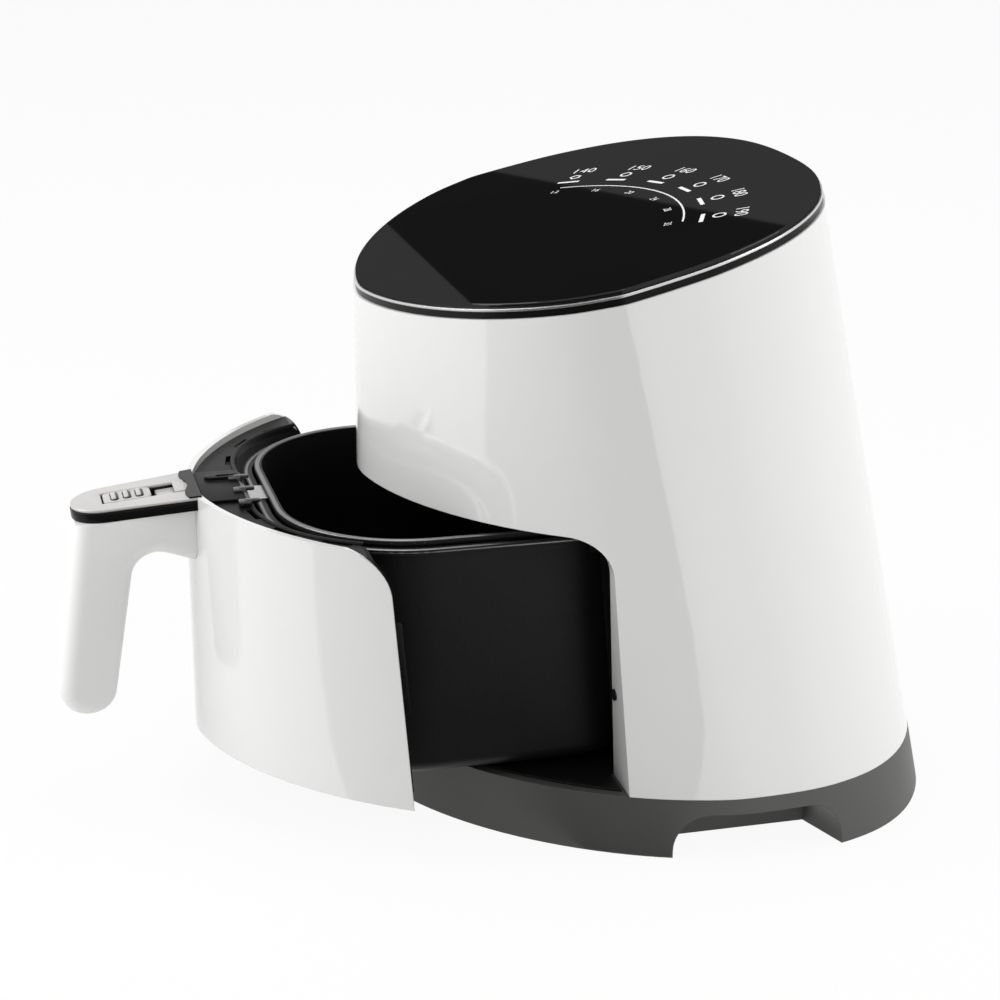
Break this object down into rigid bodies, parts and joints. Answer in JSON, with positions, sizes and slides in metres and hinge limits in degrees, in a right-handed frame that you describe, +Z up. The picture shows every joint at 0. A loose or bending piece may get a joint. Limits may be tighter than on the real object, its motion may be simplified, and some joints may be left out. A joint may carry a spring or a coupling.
{
  "type": "air fryer",
  "caption": "Egg-shaped hot-air fryer with a slanted glass lid, a pull-out pan drawer with a basket, a hanging grip and a guarded release button.",
  "frame": {"origin": "middle of the underside of the centre foot, on the table, in the middle plane", "axes": "+Z up, -Y towards the drawer handle, +X to the right of someone who looks along +Y at the handle"},
  "size_m": [0.2944, 0.4325, 0.3051],
  "materials": {
    "white_shell": "gloss white",
    "grey_base": "satin dark grey",
    "black_plastic": "satin black",
    "dark_frame": "satin dark grey",
    "rubber": "matte black",
    "coated_steel": "non-stick black coating",
    "bright_steel": "bright",
    "aluminium": "bare",
    "black_glass": "polished black",
    "silver_trim": "satin silver",
    "grey_plate": "satin light grey",
    "board": "board laminate"
  },
  "bodies": {
    "housing": {"outer_shell": "white_shell", "base": "grey_base", "bottom_cover": "grey_base", "cord_inlet": "black_plastic", "lid_carrier": "black_plastic", "rear_vent": "black_plastic", "door_switch": "black_plastic", "board_posts": "black_plastic", "foot_1": "rubber", "foot_2": "rubber", "foot_3": "rubber", "foot_4": "rubber", "foot_5": "rubber", "flange_screw_right": "coated_steel", "flange_screw_left": "coated_steel", "cavity_liner": "coated_steel", "floor_tray": "coated_steel", "rail_right": "coated_steel", "rail_left": "coated_steel", "base_screw_1": "bright_steel", "base_screw_2": "bright_steel", "base_screw_3": "bright_steel", "base_screw_4": "bright_steel", "heating_element": "bright_steel", "element_clips": "bright_steel", "fan_guard": "bright_steel", "motor": "bright_steel", "motor_bracket": "bright_steel", "heater_plate": "aluminium", "heater_bowl": "aluminium", "glass_panel": "black_glass", "glass_edge": "silver_trim", "touch_board": "board", "power_board": "board"},
    "fan_rotor": {"motor_shaft": "bright_steel", "hot_air_fan": "aluminium", "cooling_fan": "coated_steel"},
    "drawer": {"drawer_front": "white_shell", "drawer_frame": "dark_frame", "pan": "coated_steel", "basket": "coated_steel", "basket_clip": "bright_steel", "bridge_plate": "dark_frame", "latch_finger": "dark_frame", "handle_grip": "white_shell", "handle_trim": "black_plastic", "handle_top_plate": "grey_plate", "handle_screw_left": "bright_steel", "handle_screw_right": "bright_steel"},
    "guard": {"guard_slider": "grey_plate"},
    "button": {"release_button": "black_plastic"}
  },
  "joints": [
    {"name": "fan_spin", "type": "hinge", "parent": "housing", "child": "fan_rotor", "pos_m": [0, -0.04, 0.2], "axis": [0, 0, 1], "continuous": true},
    {"name": "drawer_slide", "type": "slide", "parent": "housing", "child": "drawer", "axis": [0, -1, 0], "range_m": [-0.0852, 0.11]},
    {"name": "guard_slide", "type": "slide", "parent": "drawer", "child": "guard", "axis": [0, 0.9959, 0.0906], "range_m": [0, 0.014]},
    {"name": "button_press", "type": "slide", "parent": "drawer", "child": "button", "axis": [0, 0.0906, -0.9959], "range_m": [0, 0.0025], "stiffness_N_per_m": 400}
  ]
}
